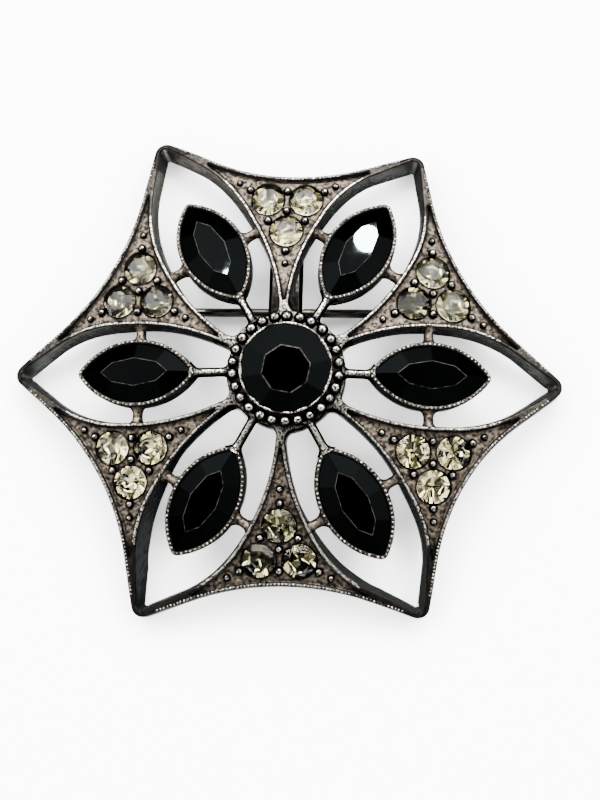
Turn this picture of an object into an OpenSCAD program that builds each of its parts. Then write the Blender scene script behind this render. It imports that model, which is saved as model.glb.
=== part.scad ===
// Star brooch: a domed, pierced six-pointed casting set with black and clear faceted stones.
// The flat of the brooch is the XY plane, one point of the star lies along +X, and +Z is the front.
// The origin is below the middle of the star, level with the backs of the six points.

/* [Star] */
// Distance from the middle to each point of the star
tip_reach = 25.5; // [24.5:0.1:26.5]
// Distance from the middle to the middle of each curved edge
edge_reach = 19.2; // [18.8:0.1:19.6]
// Radius of each curved edge, seen from the front
edge_radius = 22; // [20:0.5:24]
// Radius of the dome that the front of the casting follows
dome_radius = 80; // [70:1:100]
// Depth of the casting's walls, front to back
wall_depth = 2.2; // [1.9:0.1:2.5]

/* [Openings] */
// Distance from the middle to the widest place of each petal opening
petal_reach = 14; // [13.8:0.1:14.2]
// Half of the width of a petal opening
petal_half_width = 4.65; // [4.5:0.05:4.7]
// Radius of a petal opening's sides, on the half near the middle
petal_inner_radius = 17.5; // [17:0.5:19]
// Radius of a petal opening's sides, on the half near the point
petal_outer_radius = 13.8; // [13.4:0.1:14.2]

/* [Plates] */
// Distance from the middle to the middle of each plate
plate_reach = 15.9; // [15.7:0.1:16.1]
// Width of the raised rims round a plate
rim_width = 0.42; // [0.35:0.01:0.5]
// Depth of a plate's floor below its rims
floor_depth = 0.5; // [0.4:0.05:0.6]
// Diameter of the large beads on a plate
bead_d = 0.8; // [0.6:0.05:0.9]
// Diameter of the last bead in each corner of a plate
corner_bead_d = 0.66; // [0.5:0.02:0.7]

/* [Centre] */
// Diameter of the centre stone
centre_stone_d = 8.5; // [8.2:0.1:8.6]
// Outer diameter of the beaded ring
ring_d = 10.9; // [10.7:0.1:11.1]
// Height of the ring's top above the dome
ring_rise = 0.5; // [0.4:0.05:0.6]
// Number of beads on the ring
ring_bead_count = 26; // [20:2:26]

/* [Long stones] */
// Distance from the middle to the middle of each long stone
navette_reach = 13.45; // [13.3:0.05:13.6]
// Length of a long stone
navette_length = 10.2; // [9.8:0.1:10.4]
// Width of a long stone
navette_width = 5.4; // [5.2:0.1:5.5]
// Thickness of the bezel's wall round a long stone
bezel_wall = 0.4; // [0.35:0.05:0.45]

/* [Small stones] */
// Diameter of a small clear stone
chaton_d = 3.0; // [2.8:0.1:3.1]
// Distance from a plate's middle to each of its small stones
chaton_offset = 2.1; // [2.05:0.05:2.2]

/* [Pin] */
// Diameter of the pin's wire
wire_d = 0.85; // [0.7:0.05:0.9]
// Distance from the middle up to the line of the pin
pin_y = 6.8; // [6.6:0.1:7.2]
// Distance from the middle to the hinge's rivet
hinge_x = 13.3; // [13:0.1:13.6]
// Height of the pin's axis above the backs of the points
pin_z = 1.25; // [1.2:0.05:1.3]

/* [Hidden] */
// Clearance round every stone in its setting
stone_gap = 0.05;
// Clearance between a soldered fitting and the back of the casting
solder_gap = 0.04;
overlap = 0.2;
sides = 6;
sector = 360 / sides;
// The dome's centre lies so far down that the backs of the points are at z = 0
back_radius = dome_radius - wall_depth;
dome_z = -sqrt(back_radius * back_radius - tip_reach * tip_reach);
apex_z = dome_z + dome_radius;
// Heights that are surely above and below the casting, and how far a cutter runs past what it cuts
above_z = apex_z + 3;
below_z = -1;
cut_over = 1;
dome_faces = 240;
seam_turn = 11;
arc_faces = 180;
bead_faces = 16;

// Thickness of the thin slices that a stone's hull runs between, and its base's share of its width
facet_slice = 0.02;
stone_base = 0.4;

// Plate layout: the small stones lie at these angles from the way outwards, seen from a plate's middle
corner_angles = [180, 60, -60];
corner_names = ["a", "b", "c"];
notch_angles = [0, 120, -120];
notch_bead_offset = 2.0;
corner_bead_offset = 4.1;
last_bead_offset = 5.35;
bead_sink = 0.08;
floor_limit_reach = 16.6;
floor_limit_r = 9.0;

// Small stones
chaton_rise = 0.12;
chaton_crown = 0.5;
chaton_girdle = 0.12;
chaton_pavilion = 0.75;
chaton_seat = 0.9;
chaton_r = chaton_d / 2;
chaton_table_r = 0.56 * chaton_r;
chaton_girdle_faces = 16;

// Centre stone and its ring
stone_r = centre_stone_d / 2;
centre_lip = 0.2;
centre_lip_rise = 0.4;
centre_girdle_rise = 0.65;
centre_girdle = 0.15;
centre_crown = 0.95;
centre_pavilion = 1.4;
centre_seat = 1.5;
centre_girdle_faces = 24;
centre_table_r = 2.45;
centre_table_turn = 12;
ring_bead_d = 0.8;
ring_bead_r = (stone_r + stone_gap + centre_lip + ring_d / 2) / 2;

// Long stones: an outline of two equal arcs
navette_a = navette_length / 2;
navette_b = navette_width / 2;
navette_radius = (navette_a * navette_a + navette_b * navette_b) / (2 * navette_b);
navette_offset = navette_radius - navette_b;
setting_rise = 0.1;
setting_depth = 1.5;
seat_depth = 1.0;
navette_girdle_rise = -0.1;
navette_crown = 0.75;
navette_pavilion = 0.7;
navette_girdle = 0.1;
// Size of the table, as a share of the girdle, and the edges on each arc of either outline
navette_table = 0.5;
navette_table_edges = 3;
navette_girdle_edges = 8;
bar_width = 0.65;
bar_height = 0.7;
bar_drop = 0.45;
stem_width = 0.55;
stem_height = 1.2;
stem_drop = 0.25;

// Strap behind the top plate
strap_width = 3.2;
strap_thickness = 0.95;
strap_start = 4.8;
strap_end = 12.6;
strap_fall = 6.6;

// Pin
wire_r = wire_d / 2;
rivet_r = 0.35;
eye_gap = 0.06;
eye_r = 0.9;
eye_width = 1.3;
wire_start = rivet_r + 2 * eye_gap;
ear_gap = 0.1;
ear_thickness = 0.45;
ear_r = 0.85;
fitting_height = 3;
catch_x = 13.4;
catch_length = 1.3;
catch_wall = 0.5;
catch_slot = 1.0;
taper_start = 11.9;
point_x = 15.4;
point_r = 0.1;

function navette_name(k) = str("navette_", k * sector);
function plate_angle(k) = (k + 0.5) * sector;
function chaton_name(k, c) = str("chaton_", plate_angle(k), "_", corner_names[c]);

// Points of an outline of two equal arcs, n edges to each arc
function navette_outline(n) =
    let (r = navette_radius, half = acos(navette_offset / r))
    concat(
        [for (i = [0 : n - 1]) let (t = half - 2 * half * i / n) [r * sin(t), r * cos(t) - navette_offset]],
        [for (i = [0 : n - 1]) let (t = half - 2 * half * i / n) [-r * sin(t), navette_offset - r * cos(t)]]
    );

// Distance of a point of a plate from the middle, offset from the plate's middle along an angle
function plate_point(offset, angle) = [plate_reach + offset * cos(angle), offset * sin(angle)];

// Puts a shape, drawn on the XY plane with +Z outwards, onto the dome above the point p
module on_dome(p, height = 0) {
    radius = norm(p);
    translate([0, 0, dome_z])
        rotate([0, asin(radius / dome_radius), atan2(p[1], p[0])])
            translate([0, 0, dome_radius + height])
                rotate([0, 0, -atan2(p[1], p[0])])
                    children();
}

// Puts a shape onto the dome in the direction of a point of the star, its X axis pointing outwards
module on_tip_line(k, reach) {
    rotate([0, 0, k * sector])
        translate([0, 0, dome_z])
            rotate([0, asin(reach / dome_radius), 0])
                translate([0, 0, dome_radius])
                    children();
}

// A ball about the dome's centre. Its turn keeps the start of its surface off the star's corners.
module ball_of_dome(radius) {
    translate([0, 0, dome_z])
        rotate([0, 0, seam_turn])
            sphere(r = radius, $fn = dome_faces);
}

module edge_circle(k, grow = 0) {
    rotate(plate_angle(k))
        translate([edge_reach + edge_radius, 0])
            circle(r = edge_radius + grow, $fn = arc_faces);
}

// One of the arcs that bound a petal opening; side is 1 or -1
module petal_circle(k, side, radius, grow = 0) {
    rotate(k * sector)
        translate([petal_reach, side * (petal_half_width - radius)])
            circle(r = radius + grow, $fn = arc_faces);
}

// The half of a petal opening near the middle, or the half near the point
module petal_half(k, radius, outwards) {
    intersection() {
        petal_circle(k, 1, radius);
        petal_circle(k, -1, radius);
        rotate(k * sector)
            translate([petal_reach + (outwards ? 0 : -tip_reach), -tip_reach / 2])
                square([tip_reach, tip_reach]);
    }
}

module star_outline() {
    difference() {
        circle(r = tip_reach, $fn = arc_faces);
        for (k = [0 : sides - 1]) {
            edge_circle(k);
            petal_half(k, petal_inner_radius, false);
            petal_half(k, petal_outer_radius, true);
        }
    }
}

// The recessed floor of one plate
module plate_floor(k) {
    difference() {
        rotate(plate_angle(k))
            translate([floor_limit_reach, 0])
                circle(r = floor_limit_r, $fn = arc_faces);
        edge_circle(k, rim_width);
        petal_circle(k, 1, petal_inner_radius, rim_width);
        petal_circle(k, 1, petal_outer_radius, rim_width);
        petal_circle(k + 1, -1, petal_inner_radius, rim_width);
        petal_circle(k + 1, -1, petal_outer_radius, rim_width);
    }
}

// The domed star with its petal openings
module pierced_dome() {
    difference() {
        intersection() {
            translate([0, 0, below_z])
                linear_extrude(height = above_z - below_z)
                    star_outline();
            ball_of_dome(dome_radius);
        }
        ball_of_dome(back_radius);
    }
}

// The pierced dome with a recessed floor in each plate
module star_shell() {
    difference() {
        pierced_dome();
        difference() {
            for (k = [0 : sides - 1]) {
                translate([0, 0, below_z])
                    linear_extrude(height = above_z - below_z + cut_over)
                        plate_floor(k);
            }
            ball_of_dome(dome_radius - floor_depth);
        }
    }
}

module plate_beads(k) {
    rotate([0, 0, plate_angle(k)]) {
        on_dome([plate_reach, 0], -floor_depth + bead_sink)
            sphere(r = bead_d / 2, $fn = bead_faces);
        for (a = notch_angles) {
            on_dome(plate_point(notch_bead_offset, a), -floor_depth + bead_sink)
                sphere(r = bead_d / 2, $fn = bead_faces);
        }
        for (a = corner_angles) {
            on_dome(plate_point(corner_bead_offset, a), -floor_depth + bead_sink)
                sphere(r = bead_d / 2, $fn = bead_faces);
            on_dome(plate_point(last_bead_offset, a), -floor_depth + bead_sink)
                sphere(r = corner_bead_d / 2, $fn = bead_faces);
        }
    }
}

// A prism with the outline of a long stone, from one height to another, grown by a wall
module navette_prism(low, high, grow) {
    translate([0, 0, low])
        linear_extrude(height = high - low)
            intersection() {
                translate([0, -navette_offset])
                    circle(r = navette_radius + grow, $fn = arc_faces);
                translate([0, navette_offset])
                    circle(r = navette_radius + grow, $fn = arc_faces);
            }
}

// The bezel of a long stone with its two cross bars and the stem to the ring
module navette_setting(k) {
    bar_length = 2 * (petal_half_width + rim_width / 2);
    stem_length = navette_reach - navette_a - ring_d / 2 + 2 * overlap + bezel_wall;
    on_tip_line(k, navette_reach) {
        navette_prism(-setting_depth, setting_rise, bezel_wall);
        translate([-bar_width / 2, -bar_length / 2, -bar_drop - bar_height])
            cube([bar_width, bar_length, bar_height]);
        translate([-navette_a - stem_length + bezel_wall, -stem_width / 2, -stem_drop - stem_height])
            cube([stem_length, stem_width, stem_height]);
    }
}

module centre_ring() {
    translate([0, 0, apex_z - wall_depth])
        cylinder(d = ring_d, h = wall_depth + ring_rise, $fn = arc_faces);
    translate([0, 0, apex_z])
        cylinder(r = stone_r + stone_gap + centre_lip, h = ring_rise + centre_lip_rise, $fn = arc_faces);
    for (i = [0 : ring_bead_count - 1]) {
        rotate([0, 0, (i + 0.5) * 360 / ring_bead_count])
            translate([ring_bead_r, 0, apex_z + ring_rise + bead_sink])
                sphere(d = ring_bead_d, $fn = bead_faces);
    }
}

// The half-round strap that runs from behind the ring to behind the top plate
module back_strap() {
    length = strap_end - strap_start;
    top_z = dome_z + sqrt(back_radius * back_radius - strap_start * strap_start) + overlap;
    translate([0, strap_start, top_z - strap_thickness])
        rotate([-strap_fall, 0, 0])
            intersection() {
                rotate([-90, 0, 0])
                    cylinder(d = strap_width, h = length, $fn = arc_faces);
                translate([-strap_width, -cut_over, 0])
                    cube([2 * strap_width, length + 2 * cut_over, strap_thickness]);
            }
}

module frame() {
    color("#3a3632")
        difference() {
            union() {
                star_shell();
                for (k = [0 : sides - 1]) {
                    navette_setting(k);
                    plate_beads(k);
                }
                centre_ring();
                back_strap();
            }
            for (k = [0 : sides - 1]) {
                on_tip_line(k, navette_reach)
                    navette_prism(setting_rise - seat_depth, setting_rise + cut_over, stone_gap);
                for (a = corner_angles) {
                    rotate([0, 0, plate_angle(k)])
                        on_dome(plate_point(chaton_offset, a), -floor_depth - chaton_seat)
                            cylinder(r = chaton_r + stone_gap, h = chaton_seat + cut_over, $fn = arc_faces);
                }
            }
            translate([0, 0, apex_z + centre_girdle_rise - centre_seat])
                cylinder(r = stone_r + stone_gap, h = centre_seat + cut_over, $fn = arc_faces);
        }
}

// A round faceted stone with an eight-sided table; its girdle starts at z = 0
module round_stone(radius, girdle, crown, pavilion, table_r, girdle_faces) {
    hull() {
        translate([0, 0, girdle + crown - facet_slice])
            cylinder(r = table_r, h = facet_slice, $fn = 8);
        rotate([0, 0, 180 / girdle_faces])
            cylinder(r = radius, h = girdle, $fn = girdle_faces);
        translate([0, 0, -pavilion])
            cylinder(r = radius * stone_base, h = facet_slice, $fn = 8);
    }
}

module centre_stone() {
    color("#0b0b0d")
        translate([0, 0, apex_z + centre_girdle_rise])
            rotate([0, 0, centre_table_turn])
                round_stone(stone_r, centre_girdle, centre_crown, centre_pavilion, centre_table_r,
                            centre_girdle_faces);
}

module navette_stone(k) {
    color("#0b0b0d")
        on_tip_line(k, navette_reach)
            translate([0, 0, navette_girdle_rise])
                hull() {
                    for (z = [navette_crown, -navette_pavilion]) {
                        translate([0, 0, z])
                            linear_extrude(height = facet_slice)
                                scale(navette_table)
                                    polygon(navette_outline(navette_table_edges));
                    }
                    linear_extrude(height = navette_girdle)
                        polygon(navette_outline(navette_girdle_edges));
                }
}

module chaton(k, c) {
    color("#d8d4bd")
        rotate([0, 0, plate_angle(k)])
            on_dome(plate_point(chaton_offset, corner_angles[c]), -floor_depth + chaton_rise)
                round_stone(chaton_r, chaton_girdle, chaton_crown, chaton_pavilion, chaton_table_r,
                            chaton_girdle_faces);
}

// The part of a block that lies behind the casting's back
module behind_casting() {
    intersection() {
        children();
        ball_of_dome(back_radius - solder_gap);
    }
}

module pin_hinge() {
    inner_y = eye_width / 2 + ear_gap;
    color("#6e6a60")
        union() {
            behind_casting() {
                difference() {
                    union() {
                        translate([-hinge_x - ear_r, pin_y - inner_y - ear_thickness, pin_z])
                            cube([2 * ear_r, 2 * (inner_y + ear_thickness), fitting_height]);
                        translate([-hinge_x, pin_y, pin_z])
                            rotate([90, 0, 0])
                                cylinder(r = ear_r, h = 2 * (inner_y + ear_thickness), center = true,
                                         $fn = arc_faces);
                    }
                    translate([-hinge_x - ear_r - cut_over, pin_y - inner_y, below_z])
                        cube([2 * (ear_r + cut_over), 2 * inner_y, pin_z + eye_r + ear_gap - below_z]);
                }
            }
            translate([-hinge_x, pin_y, pin_z])
                rotate([90, 0, 0])
                    cylinder(r = rivet_r, h = 2 * (inner_y + ear_thickness / 2), center = true,
                             $fn = arc_faces);
        }
}

module pin_stem() {
    color("#2a2826")
        translate([-hinge_x, pin_y, pin_z])
            difference() {
                union() {
                    rotate([90, 0, 0])
                        cylinder(r = eye_r, h = eye_width, center = true, $fn = arc_faces);
                    translate([wire_start, 0, 0])
                        rotate([0, 90, 0])
                            cylinder(r = wire_r, h = hinge_x + taper_start - wire_start,
                                     $fn = arc_faces);
                    translate([hinge_x + taper_start, 0, 0])
                        rotate([0, 90, 0])
                            cylinder(r1 = wire_r, r2 = point_r, h = point_x - taper_start, $fn = arc_faces);
                }
                rotate([90, 0, 0])
                    cylinder(r = rivet_r + eye_gap, h = eye_width + cut_over, center = true,
                             $fn = arc_faces);
            }
}

module pin_catch() {
    catch_r = catch_slot / 2 + catch_wall;
    color("#6e6a60")
        behind_casting()
            difference() {
                union() {
                    translate([catch_x, pin_y, pin_z])
                        rotate([0, 90, 0])
                            cylinder(r = catch_r, h = catch_length, center = true, $fn = arc_faces);
                    translate([catch_x - catch_length / 2, pin_y - catch_r, pin_z])
                        cube([catch_length, 2 * catch_r, fitting_height]);
                }
                translate([catch_x, pin_y, pin_z])
                    rotate([0, 90, 0])
                        cylinder(d = catch_slot, h = catch_length + cut_over, center = true,
                                 $fn = arc_faces);
                translate([catch_x - catch_length, pin_y - catch_slot / 2, below_z])
                    cube([2 * catch_length, catch_slot, pin_z - below_z]);
            }
}

frame();
centre_stone();
for (k = [0 : sides - 1]) {
    navette_stone(k);
    for (c = [0 : 2]) {
        chaton(k, c);
    }
}
pin_hinge();
pin_stem();
pin_catch();
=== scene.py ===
import math
import random
from types import SimpleNamespace

import bpy
import numpy as np
from mathutils import Matrix, Vector


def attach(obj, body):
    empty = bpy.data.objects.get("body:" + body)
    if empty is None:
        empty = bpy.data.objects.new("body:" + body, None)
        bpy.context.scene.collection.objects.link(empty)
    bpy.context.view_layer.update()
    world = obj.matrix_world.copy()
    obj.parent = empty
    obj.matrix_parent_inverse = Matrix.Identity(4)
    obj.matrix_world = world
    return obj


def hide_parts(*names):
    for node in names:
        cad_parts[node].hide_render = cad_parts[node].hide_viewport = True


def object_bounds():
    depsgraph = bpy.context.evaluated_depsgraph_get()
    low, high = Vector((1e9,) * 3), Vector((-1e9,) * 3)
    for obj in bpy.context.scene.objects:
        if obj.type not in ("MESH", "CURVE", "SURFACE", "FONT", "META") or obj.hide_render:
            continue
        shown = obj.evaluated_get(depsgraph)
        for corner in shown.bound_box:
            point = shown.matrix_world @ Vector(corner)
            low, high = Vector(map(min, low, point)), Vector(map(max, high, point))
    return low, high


bl_info = {
    "name": "Star Brooch",
    "version": (1, 0, 0),
    "blender": (4, 5, 0),
    "location": "View3D > Sidebar > Star Brooch",
    "description": "Builds a pierced star brooch set with faceted stones, and a small table-top stage",
    "category": "Add Mesh",
}

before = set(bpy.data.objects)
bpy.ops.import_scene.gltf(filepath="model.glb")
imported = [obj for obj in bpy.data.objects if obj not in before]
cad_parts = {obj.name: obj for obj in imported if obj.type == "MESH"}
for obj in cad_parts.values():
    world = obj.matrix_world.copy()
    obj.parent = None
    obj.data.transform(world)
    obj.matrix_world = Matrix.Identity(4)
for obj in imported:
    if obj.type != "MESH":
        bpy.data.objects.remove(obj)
CAD_LOW, CAD_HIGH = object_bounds()

# Pieces are modelled with one unit to the millimetre, and brought to metres when they are finished
MM = 0.001
SIDES = 6
SECTOR = 360 / SIDES
TIPS = [k * SECTOR for k in range(SIDES)]
PLATES = [(k + 0.5) * SECTOR for k in range(SIDES)]
STONE_LETTERS = {"a": 180, "b": 60, "c": -60}
# How far each point of the real casting lies from its regular place, in millimetres
TIP_SHIFTS = ((0.25, -0.36), (-0.27, -0.12), (0.16, 1.15), (0.06, 0.27), (-0.24, 0.2), (0.3, 0.6))
# Reaches between which these shifts come in, from none to all of them, in millimetres
BENT = (14.5, 25.5)
# How much more one side of the two lower openings leans in at its foot, in millimetres
PETAL_LEANS = {240: 0.8, 300: 0.45}
# Reaches between which the sides of an opening come to lean in, and those two lean in more, in millimetres
SIDE_LEAN = (10, 17)
MORE_LEAN = (11, 19)
# Length over which the end of an opening leans in, in millimetres
END_LEAN = 5.5
# The casting's finishes, in the order of its materials: the last two are for walls painted lighter or
# darker, as painted light and painted shade
RIM, WALL, FLOOR, RAIL, STRAP, PAINTED_LIT_WALL, PAINTED_SHADED_WALL = range(7)
BODY = "brooch"


# Sizes and colours that a user would change


def length(name, description, millimetres):
    """A length in metres, whose default is given in millimetres."""
    return bpy.props.FloatProperty(
        name=name, description=description, default=millimetres * MM,
        min=0, precision=5, unit="LENGTH", subtype="DISTANCE")


def angle(name, description, degrees):
    """An angle, whose default is given in degrees."""
    return bpy.props.FloatProperty(
        name=name, description=description, default=math.radians(degrees), unit="ROTATION", subtype="ANGLE")


def linear(hex_colour):
    """Linear RGB of an sRGB hex colour."""
    values = [int(hex_colour[i:i + 2], 16) / 255 for i in (1, 3, 5)]
    return [v / 12.92 if v <= 0.04045 else ((v + 0.055) / 1.055) ** 2.4 for v in values]


def colour(name, description, hex_colour):
    """A colour, whose default is given as an sRGB hex value."""
    return bpy.props.FloatVectorProperty(
        name=name, description=description, default=linear(hex_colour),
        size=3, min=0, max=1, subtype="COLOR")


class BROOCH_PG_casting(bpy.types.PropertyGroup):
    """Sizes of the cast star"""

    tip_reach: length("Tip reach", "From the middle to each point", (CAD_HIGH.x - CAD_LOW.x) / 2 / MM)
    edge_reach: length("Edge reach", "From the middle to the middle of each curved edge", 19.2)
    edge_radius: length("Edge radius", "Radius of each curved edge", 22)
    edge_arc: angle("Edge arc", "Half of each curved edge's angle, past which it runs on straight", 20.6)
    dome_radius: length("Dome radius", "Radius of the dome that the front follows", 80)
    depth: length("Depth", "Depth of the casting's walls", 2.25)
    draft: length("Draft", "How much narrower each opening is at the back", 0.1)
    end_draft: length("End draft", "How much shorter each opening is at the back", 0.65)
    side_draft: length("Side draft", "How much more each side of an opening leans in near the points", 0.27)
    petal_reach: length("Petal reach", "From the middle to the widest place of a petal opening", 14)
    petal_middle: length("Petal middle", "Length over which a petal opening keeps its greatest width", 1)
    petal_start: length("Petal start", "From the ring's centre to a petal's inner end", 5.42)
    petal_corner: length("Petal corner", "Rounding of the corners at a petal's inner end", 0.7)
    petal_half_width: length("Petal half width", "Half of the width of a petal opening", 4.6)
    petal_inner_radius: length("Petal inner radius", "Radius of a petal's sides near the middle", 20)
    petal_outer_radius: length("Petal outer radius", "Radius of a petal's sides past its widest place", 11.6)
    petal_end_angle: angle("Petal end angle", "Angle of a petal's straight sides to its axis", 32.5)
    petal_end_radius: length("Petal end radius", "Rounding at a petal's outer end", 0.6)
    rim_width: length("Rim width", "Width of the raised rims", 0.38)
    rim_round: length("Rim rounding", "Rounding of the rims' edges", 0.17)
    floor_depth: length("Floor depth", "Depth of a plate's floor below its rims", 0.5)
    plate_reach: length("Plate reach", "From the middle to the middle of each plate", 15.9)
    bead: length("Bead", "Diameter of the large beads on a plate", 0.8)
    corner_bead: length("Corner bead", "Diameter of the last bead in each corner of a plate", 0.66)
    grain: length("Rim grain", "Diameter of the tiny beads along the outer rims", 0.3)


class BROOCH_PG_settings(bpy.types.PropertyGroup):
    """Sizes of the stones and of what holds them"""

    navette_reach: length("Long stone reach", "From the middle to the middle of each long stone", 13.45)
    bezel_length: length("Bezel length", "Outer length of a long stone's bezel", 11.2)
    bezel_width: length("Bezel width", "Outer width of a long stone's bezel", 6.25)
    bezel_wall: length("Bezel wall", "Thickness of a bezel's wall", 0.36)
    bezel_rise: length("Bezel rise", "Height of a bezel's top above the dome", 0.12)
    bezel_depth: length("Bezel depth", "Depth of a bezel below the dome", 1.5)
    bezel_grain: length("Bezel grain", "Diameter of the tiny beads round a bezel", 0.37)
    bar_width: length("Bar width", "Width of the bars that carry a bezel", 0.9)
    stem_width: length("Stem width", "Width of the stem from a bezel to the ring", 0.85)
    ring: length("Ring", "Outer diameter of the beaded ring", 10.65)
    ring_bead: length("Ring bead", "Diameter of the ring's beads", 1.06)
    ring_aside: length("Ring aside", "How far the ring was soldered to the right of the middle", 0.38)
    ring_up: length("Ring up", "How far the ring was soldered above the middle", 0.26)
    ring_opening: length("Ring opening", "Diameter of the round hole in which the centre stone shows", 8.0)
    ring_beads: bpy.props.IntProperty(
        name="Ring beads", description="Number of beads on the ring", default=26, min=8)
    centre_stone: length("Centre stone", "Diameter of the centre stone", 8.5)
    chaton: length("Small stone", "Diameter of a small clear stone", 3.0)
    chaton_offset: length("Small stone offset", "From a plate's middle to each of its small stones", 2.1)


class BROOCH_PG_finish(bpy.types.PropertyGroup):
    """Colours of the metals and the stones"""

    dark: colour("Dark metal", "Antiqued metal in the hollows", "#020202")
    rubbed: colour("Rubbed metal", "Metal on the rims and beads, rubbed bright", "#7f7c74")
    wall: colour("Wall metal", "Metal of the casting's walls", "#444544")
    # Two copies of the wall metal, one painted lighter and one painted darker: painted light and painted
    # shade on the walls inside two openings
    clean_wall: colour("Painted-lit wall metal", "Walls painted lighter, as painted light where more light falls", "#5e5d5a")
    black_wall: colour("Painted-shade wall metal", "Walls painted darker, as painted shade where less light falls", "#303132")
    rose: colour("Rosy patina", "Patina on the plates' floors", "#3a342d")
    black: colour("Blackened metal", "Blackened rims, beads and strap, where they aren't rubbed", "#0c0a09")
    rail: colour("Rail metal", "Brown patina near the star's points", "#100e0c")
    sheen: colour("Sheen", "Tint of the metal seen at a low angle", "#303030")
    black_glass: colour("Black glass", "The black stones", "#000000")
    glass_sheen: colour("Glass sheen", "Tint of what the black stones reflect", "#e2f5f7")
    worn_glass: colour("Worn glass", "Worn edges of the black stones", "#1d1c1b")
    clear_glass: colour("Clear glass", "The small clear stones", "#fbf9ec")
    foil: colour("Foil", "Foil behind the clear stones", "#b3af96")
    # Painted shade: near-black foil for the back facets that should look dark
    painted_shade_foil: colour("Painted-shade foil", "Foil behind the clear stones, painted dark as painted shade", "#10110e")
    steel: colour("Pin steel", "Worn wire of the pin", "#35322e")
    table: colour("Table", "The pale table", "#f6f6f5")


def sizes():
    """All the sizes by name, with every length in millimetres."""
    values = SimpleNamespace()
    for group in (bpy.context.scene.brooch_casting, bpy.context.scene.brooch_settings):
        for name in group.__annotations__:
            scale = 1 / MM if group.bl_rna.properties[name].unit == "LENGTH" else 1
            setattr(values, name, getattr(group, name) * scale)
    return values


# Directions and shares


def toward(degrees, reach=1.0):
    """Plan point at a reach from the middle, in a direction."""
    a = math.radians(degrees)
    return reach * math.cos(a), reach * math.sin(a)


def turn_about(axis, degrees):
    """A turn about an axis through the middle."""
    return Matrix.Rotation(math.radians(degrees), 4, axis)


def part_way(value, low, high):
    """How far the value has come from low to high, from 0 to 1."""
    return min(1.0, max(0.0, (value - low) / (high - low)))


def eased(value, low, high):
    """How far the value has come from low to high, with a soft start and a soft end."""
    part = part_way(value, low, high)
    return part * part * (3 - 2 * part)


# The dome


def dome_centre(s):
    """Height of the dome's centre: the backs of the points are at zero."""
    back_radius = s.dome_radius - s.depth
    return -math.sqrt(back_radius ** 2 - s.tip_reach ** 2)


def dome_height(s, x, y):
    """Height of the dome's front above the plan point."""
    return dome_centre(s) + np.sqrt(s.dome_radius ** 2 - x ** 2 - y ** 2)


def seat_on_dome(s, x, y, height=0.0, turn=0.0):
    """Place of a piece that stands square on the dome above a plan point, its X axis at turn degrees."""
    reach = math.hypot(x, y)
    bearing = math.atan2(y, x)
    return (Matrix.Translation((0, 0, dome_centre(s)))
            @ Matrix.Rotation(bearing, 4, "Z")
            @ Matrix.Rotation(math.asin(reach / s.dome_radius), 4, "Y")
            @ Matrix.Translation((0, 0, s.dome_radius + height))
            @ Matrix.Rotation(math.radians(turn) - bearing, 4, "Z"))


def on_tip_line(s, degrees):
    """Place of a long stone, on the line from the middle to a point of the star, its X axis outwards."""
    return seat_on_dome(s, *toward(degrees, s.navette_reach), turn=degrees)


def on_plate(s, degrees, offset, direction):
    """Plan point at an offset from a plate's middle, in a direction counted from the way outwards."""
    x, y = toward(degrees, s.plate_reach)
    aside, up = toward(degrees + direction, offset)
    return as_cast(x + aside, y + up)


def ring_shift(s, degrees):
    """How far the beaded ring lies off the middle, in a direction."""
    x, y = toward(degrees)
    return s.ring_aside * x + s.ring_up * y


def as_cast(x, y):
    """Where a plan point of the regular star lies in the real casting, whose points aren't quite regular."""
    bearing = math.degrees(math.atan2(y, x))
    bent = eased(math.hypot(x, y), *BENT)
    to_x = to_y = 0.0
    for degrees, (aside, up) in zip(TIPS, TIP_SHIFTS):
        off = abs((bearing - degrees + 180) % 360 - 180)
        share = bent * (1 - eased(off, 0, SECTOR))
        to_x += share * aside
        to_y += share * up
    return x + to_x, y + to_y


def lay_on_dome(s, piece):
    """Lifts every point of a flat piece by the dome's height, and moves it to its place in the casting."""
    for point in piece.data.vertices:
        point.co.z += dome_height(s, point.co.x, point.co.y)
        point.co.x, point.co.y = as_cast(point.co.x, point.co.y)


# Outlines, as lists of plan points


def arc(centre, radius, start, end, count):
    """Points along an arc between two angles in degrees."""
    points = [toward(start + (end - start) * i / (count - 1), radius) for i in range(count)]
    return [(centre[0] + x, centre[1] + y) for x, y in points]


def curve(start, corner, end, count):
    """Points along a smooth curve that leaves the start towards the corner, and comes from it to the end."""
    steps = [i / (count - 1) for i in range(count)]
    return [tuple((1 - t) ** 2 * a + 2 * t * (1 - t) * b + t * t * c for a, b, c in zip(start, corner, end))
            for t in steps]


def turned(points, degrees):
    """The points, turned about the middle."""
    c, s = toward(degrees)
    return [(c * x - s * y, s * x + c * y) for x, y in points]


def mirrored(points, degrees=0):
    """The points in reverse order, mirrored in the line from the middle at that angle."""
    c, s = toward(2 * degrees)
    return [(c * x + s * y, s * x - c * y) for x, y in reversed(points)]


def edge_line(s, inset=0.0, run=3.0):
    """The hollow edge beside the point along +X, set in by inset: an arc, run on straight at both ends."""
    half = SECTOR / 2
    lean = math.degrees(s.edge_arc)
    centre = toward(half, s.edge_reach + s.edge_radius)
    points = arc(centre, s.edge_radius + inset, 180 + half + lean, 180 + half - lean, 60)
    aside, down = toward(90 - half - lean, run)
    first = (points[0][0] + aside, points[0][1] - down)
    return [first] + points + mirrored([first], half)


def star_outline(s):
    """Outline of the star: a round nose at each point, and a hollow edge between two noses."""
    edge = edge_line(s)
    (x0, y0), (x1, y1) = edge[:2]
    lean = math.atan2(y1 - y0, x0 - x1)
    apex = x1 + y1 / math.tan(lean)
    nose = (apex - s.tip_reach) / (1 / math.sin(lean) - 1)
    turn = 90 - math.degrees(lean)
    side = arc((s.tip_reach - nose, 0), nose, -turn, turn, 9) + edge[1:-1]
    return [point for degrees in TIPS for point in turned(side, degrees)]


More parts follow.
